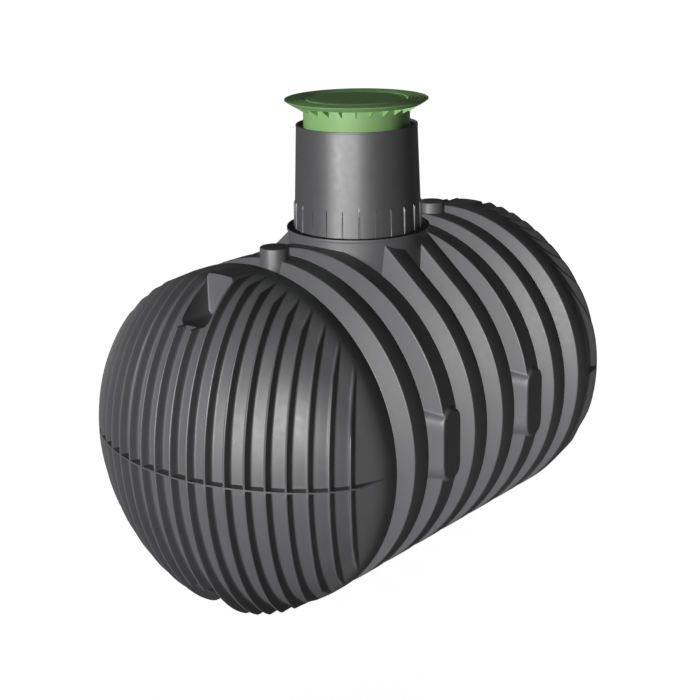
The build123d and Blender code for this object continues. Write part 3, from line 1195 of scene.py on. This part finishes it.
@dataclass
class Shaft(Piece):
    """Conical shaft in the neck with fins near its foot, its rim and the two seals."""

    top_r: float = 0.366
    taper: float = math.radians(2.15)
    wall: float = 0.008
    rim_height: float = 0.012
    rim_lip_r: float = 0.356
    rim_bead: float = 0.0015
    fins: int = 24
    fin_start: float = math.radians(9.4)
    fin_half: float = 0.0030
    fin_foot: float = 0.0062
    fin_steps: tuple[float, float] = (0.0033, 0.0040)
    fin_break: float = 0.0005
    fin_r: float = 0.393
    fin_low: float = 0.007
    fin_height: float = 0.172
    fin_lead: float = 0.012
    foot_band: float = 0.008
    seal_height: float = 0.016
    seal_drop: float = 0.003
    guide_height: float = 0.023
    guide_r: float = 0.3216
    gap: float = 0.0003

    def outer_r(self, height: np.ndarray | float) -> np.ndarray | float:
        """Radius of the cone: top radius plus the drop from the top times the taper."""
        return self.top_r + (self.layout.shaft_top - height) * math.tan(self.taper)

    def fin_angles(self) -> np.ndarray:
        """Angles round the shaft, close together on each fin.

        Returns:
            The angles, rising.
        """
        half = np.array([*self.fin_steps, self.fin_foot]) / self.fin_r
        near = np.concatenate([-half[::-1], half])
        between = np.linspace(0, TURN / self.fins, 7)[1:-1]
        starts = np.arange(self.fins)[:, None] * TURN / self.fins
        return (self.fin_start + starts + np.concatenate([near, between])).reshape(-1)

    def build_tube(self) -> bpy.types.Object:
        """Makes the tube in one surface: the cone, or a fin's radius where an angle lies on a fin.

        Returns:
            The tube.
        """
        size = self.layout
        foot = size.shaft_foot
        band = foot + self.foot_band
        top = size.shaft_top - self.rim_height
        low = size.collar_low + self.fin_low
        high = low + self.fin_height
        ring = size.neck_r - size.neck_wall - self.gap
        heights = np.unique(np.concatenate([
            [band, low - self.fin_break, low + self.fin_break],
            np.linspace(low + 2 * self.fin_break, high, 12), np.linspace(high, top, 16),
        ]))
        angles = self.fin_angles()
        pitch = TURN / self.fins
        offset = np.abs((angles - self.fin_start + pitch / 2) % pitch - pitch / 2) * self.fin_r
        on_fin = np.clip((self.fin_foot - offset) / (self.fin_foot - self.fin_half), 0, 1)
        cone = self.outer_r(heights)[:, None]
        lead = np.clip((high - heights) / self.fin_lead, 0, 1) * (heights > low)
        fin = np.where(lead[:, None] > 0, self.fin_r, cone)
        radius = cone + (fin - cone) * smooth_step(on_fin, 0, 1) * lead[:, None]
        level = heights[:, None] * np.ones_like(angles)
        outer = np.stack([radius * np.cos(angles), radius * np.sin(angles), level], axis=-1)
        skin = Skin("shaft_skin")
        skin.grid(outer, wrap=True)
        rest = np.array([
            [self.outer_r(top), top], [self.outer_r(top) - self.wall, top],
            [self.outer_r(foot) - self.wall, foot], [ring, foot], [ring, band], [self.outer_r(band), band],
        ])
        skin.grid(turned(rest, angles), wrap=True)
        return skin.build()

    def build(self) -> None:
        """Builds and dresses the tube, the rim and both seals."""
        size = self.layout
        dress(self.build_tube(), self.finishes.shaft, Body.TANK, "shaft_plastic", "shaft_tube")
        low = size.shaft_top - self.rim_height
        outer = self.outer_r(low) + self.rim_bead
        rim = lathe("shaft_rim_skin", [
            (self.rim_lip_r, low, SHARP_EDGE), (outer, low, SHARP_EDGE),
            (outer, size.shaft_top, ROUND_EDGE), (self.rim_lip_r, size.shaft_top, EASED_EDGE),
        ])
        dress(rim, self.finishes.shaft, Body.TANK, "shaft_plastic", "shaft_rim")
        foot, lip = size.collar_low - self.seal_height, size.collar_top - self.seal_drop
        bore = size.neck_r - size.neck_wall - self.gap
        seal = lathe("neck_seal_skin", [
            (self.outer_r(foot) + self.gap, foot, 0), (bore, foot, 0), (bore, lip, EASED_EDGE),
            (self.outer_r(lip) + self.gap, lip, ROUND_EDGE),
        ])
        dress(seal, self.finishes.rubber, Body.TANK, "seal_rubber", "shaft_seal")
        under = low - self.guide_height
        gap = self.wall + self.gap
        guide = lathe("guide_seal_skin", [
            (self.guide_r, under, EASED_EDGE), (self.outer_r(under) - gap, under, 0),
            (self.outer_r(low) - gap, low, 0), (self.guide_r, low, ROUND_EDGE),
        ])
        dress(guide, self.finishes.rubber, Body.TANK, "seal_rubber", "guide_seal")


@dataclass
class Cover(Piece):
    """Telescopic cover: ringed flange, conical lip, gussets, skirt and lid."""

    rim: float = 0.006
    lip_r: float = 0.395
    flange_depth: float = 0.030
    skirt_r: float = 0.321
    skirt_wall: float = 0.008
    skirt_length: float = 0.526
    recess_r: float = 0.311
    shelf_r: float = 0.285
    shelf_drop: float = 0.020
    shelf_thickness: float = 0.008
    gussets: int = 24
    gusset_start: float = math.radians(7.9)
    gusset_half: float = 0.0035
    gusset_height: float = 0.044
    gusset_sink: float = 0.002
    gusset_tip: float = 0.001
    gusset_edge: float = 0.0008
    lid_r: float = 0.300
    lid_plate: float = 0.008
    lid_edge: float = 0.012
    lid_ring_in: float = 0.026
    lid_ring_depth: float = 0.002
    lid_ring_half: float = 0.002
    rings: tuple[float, ...] = (0.325, 0.350, 0.375, 0.400, 0.418)
    ring_depth: float = 0.003
    ring_half: float = 0.0025
    ring_edge: float = 0.0006
    top_edge: float = 0.002
    tread_margin: float = 0.001

    def top_line(self) -> list[Corner]:
        """Top of the flange from its rim inwards, with a shallow groove at each ring.

        Returns:
            Radius, height and rounding of each corner.
        """
        top = self.layout.cover_top
        wide, low, edge = self.ring_half * 1.4, top - self.ring_depth, self.ring_edge
        spots = [(self.layout.cover_r, top, self.top_edge)]
        for radius in reversed(self.rings):
            spots += [
                (radius + wide, top, edge), (radius + self.ring_half, low, edge),
                (radius - self.ring_half, low, edge), (radius - wide, top, edge),
            ]
        return [*spots, (self.recess_r, top, self.top_edge)]

    def build_frame(self) -> None:
        """Builds flange and skirt as one turned ring, and dresses its top with the tread."""
        top = self.layout.cover_top
        low = top - self.flange_depth
        skirt_low = low - self.skirt_length
        bore = self.skirt_r - self.skirt_wall
        shelf = top - self.shelf_drop
        under = shelf - self.shelf_thickness
        corners = [
            (self.recess_r, shelf, 0), (self.shelf_r, shelf, 0), (self.shelf_r, under, 0), (bore, under, 0),
            (bore, skirt_low, 0), (self.skirt_r, skirt_low, EASED_EDGE), (self.skirt_r, low, ROUND_EDGE),
            (self.lip_r, low, ROUND_EDGE), (self.layout.cover_r, top - self.rim, SHARP_EDGE),
        ]
        obj = lathe("cover_frame_skin", corners + self.top_line(), 240)
        dress(obj, self.finishes.green, Body.COVER, "cover_plastic", "cover_frame")
        paint_top(obj, self.finishes.tread, top - self.rim, self.recess_r - self.tread_margin)

    def build_gussets(self) -> None:
        """Builds the gussets: upright triangles from the lip's underside down to the skirt."""
        low = self.layout.cover_top - self.flange_depth
        sink, edge = self.gusset_sink, self.gusset_edge
        tip, foot = self.lip_r - 2 * sink, low - self.gusset_height
        line = np.array([
            [self.skirt_r - sink, low + sink], [tip, low + sink], [tip, low - self.gusset_tip],
            [self.skirt_r, foot], [self.skirt_r - sink, foot],
        ])
        half = self.gusset_half
        across = np.array([-half, -half + edge, half - edge, half])
        shrink = np.array([edge, 0, 0, edge])
        skin = Skin("gusset_skin")
        for angle in full_turn(self.gussets) + self.gusset_start:
            out = np.array([math.cos(angle), math.sin(angle)])
            side = np.array([-math.sin(angle), math.cos(angle)])
            radius = line[:, 0][None] - shrink[:, None]
            flat = radius[..., None] * out + across[:, None, None] * side
            height = line[:, 1][None] + shrink[:, None]
            skin.caps(skin.grid(np.concatenate([flat, height[..., None]], axis=-1), wrap=True))
        dress(skin.build(), self.finishes.green, Body.COVER, "cover_plastic")

    def build_lid(self) -> None:
        """Builds the lid: a plate with a deep edge, closed at its middle."""
        top = self.layout.cover_top
        shelf = top - self.shelf_drop
        plate = top - self.lid_plate
        ring, half = self.lid_r - self.lid_ring_in, self.lid_ring_half
        low = top - self.lid_ring_depth
        inside = self.lid_r - self.lid_edge
        lid = lathe("lid_skin", [
            (0, top, 0), (ring - 2 * half, top, EASED_EDGE), (ring - half, low, SHARP_EDGE),
            (ring + half, low, SHARP_EDGE), (ring + 2 * half, top, EASED_EDGE),
            (self.lid_r, top, ROUND_EDGE), (self.lid_r, shelf, 0), (inside, shelf, 0),
            (inside, plate, 0), (0, plate, 0),
        ], closed=False)
        dress(lid, self.finishes.lid, Body.COVER, "lid_plastic", "cover_lid")

    def build(self) -> None:
        """Builds and dresses the whole cover."""
        self.build_frame()
        self.build_gussets()
        self.build_lid()


@dataclass
class Studio:
    """Pale floor, soft lamps and the camera at the photograph's view."""

    camera_at: tuple[float, float, float] = (-6.8653, -5.4720, 4.0766)
    camera_turn: tuple[float, float, float] = (72.358812, 0.888655, -51.320590)
    lens: float = 75.17
    sensor: float = 36.0
    floor_half: float = 150.0
    floor_glow: float = 0.93
    ambient: float = 0.03
    key_strength: float = 2.9
    back_strength: float = 1.6
    glint_power: float = 1900.0
    lamp_distance: float = 14.0
    lamp_aim: float = 1.2

    def place_camera(self) -> None:
        """Sets the camera at its place, turned by degrees round X, Y and Z."""
        data = bpy.data.cameras.new("camera")
        data.lens = self.lens
        data.sensor_width = self.sensor
        camera = linked("camera", data)
        camera.location = self.camera_at
        camera.rotation_euler = [math.radians(turn) for turn in self.camera_turn]
        bpy.context.scene.camera = camera

    def lamp(
        self, name: str, kind: str, azimuth: float, elevation: float, **settings: object
    ) -> bpy.types.Object:
        """Adds a lamp that shines on the tank.

        Args:
            name: its name.
            kind: Blender's lamp kind.
            azimuth: degrees from -X towards -Y.
            elevation: degrees above the ground.
            settings: properties of the lamp.

        Returns:
            The lamp's object.
        """
        data = bpy.data.lights.new(name, kind)
        for key, value in settings.items():
            setattr(data, key, value)
        turn, lift = math.radians(azimuth), math.radians(elevation)
        flat = math.cos(lift)
        away = Vector((-math.cos(turn) * flat, -math.sin(turn) * flat, math.sin(lift)))
        obj = linked(name, data)
        obj.location = away * self.lamp_distance + Vector((0, 0, self.lamp_aim))
        obj.rotation_euler = (-away).to_track_quat("-Z", "Y").to_euler()
        return obj

    def place_lamps(self) -> None:
        """Low key lamp from the near end, a weaker one from behind and a lamp for gloss alone."""
        key = self.lamp("key", "SUN", 4, 1.5, energy=self.key_strength, angle=math.radians(14))
        key.data.use_shadow = False
        back = self.lamp("back", "SUN", 205, 8, energy=self.back_strength, angle=math.radians(30))
        back.visible_glossy = False
        glint = self.lamp("glint", "AREA", 31, 14, energy=self.glint_power, shape="DISK", size=3.0)
        glint.visible_diffuse = False

    @staticmethod
    def glow(nodes: NodeTree, elsewhere: float, seen: float) -> Socket:
        """Strength that differs for what the camera sees, also through clear things, and all else.

        Args:
            nodes: the nodes that it joins.
            elsewhere: strength for all other light.
            seen: strength that the camera sees.

        Returns:
            The strength.
        """
        camera, clear = (
            nodes.add("ShaderNodeLightPath", {}, f"Is {kind} Ray") for kind in ("Camera", "Transmission")
        )
        return nodes.ranged(nodes.math("MAXIMUM", camera, clear), elsewhere, seen, 0, 1)

    def place_floor(self) -> None:
        """Pale floor that glows for the camera, so that it is white and still keeps a shadow."""
        half = self.floor_half
        mesh = bpy.data.meshes.new("floor")
        corners = [(-half, -half, 0), (half, -half, 0), (half, half, 0), (-half, half, 0)]
        mesh.from_pydata(corners, [], [(0, 1, 2, 3)])
        nodes = NodeTree(bpy.data.materials.new("floor_white"))
        nodes.feed(nodes.shader, {
            "Base Color": (0.8, 0.8, 0.8, 1),
            "Roughness": 1.0,
            "Specular IOR Level": 0.0,
            "Emission Color": (1, 1, 1, 1),
            "Emission Strength": self.glow(nodes, 0.0, self.floor_glow),
        })
        mesh.materials.append(nodes.owner)
        linked("floor", mesh)

    def place_world(self) -> None:
        """Weak even light on the object, and white where the camera sees the sky."""
        world = bpy.data.worlds.new("studio")
        bpy.context.scene.world = world
        nodes = NodeTree(world, "Background")
        strength = self.glow(nodes, self.ambient, 1.0)
        nodes.feed(nodes.shader, {"Color": (1, 1, 1, 1), "Strength": strength})

    def build(self) -> None:
        """Sets up the whole studio."""
        self.place_camera()
        self.place_lamps()
        self.place_floor()
        self.place_world()
        bpy.context.scene.view_settings.view_transform = "Standard"


def main() -> None:
    """Builds the tank's looks and the studio."""
    logging.basicConfig(level=logging.INFO, format="%(name)s %(message)s")
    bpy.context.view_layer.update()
    layout = Layout.from_frame()
    finishes = Finishes()
    for side in Side:
        DomeEnd(layout, finishes, side).build()
        PipeStub(layout, finishes, side).build()
    for index in range(1, 7):
        RibbedHoop(layout, finishes, index).build()
    Neck(layout, finishes).build()
    Shaft(layout, finishes).build()
    Cover(layout, finishes).build()
    Studio().build()


if __name__ == "__main__":
    main()
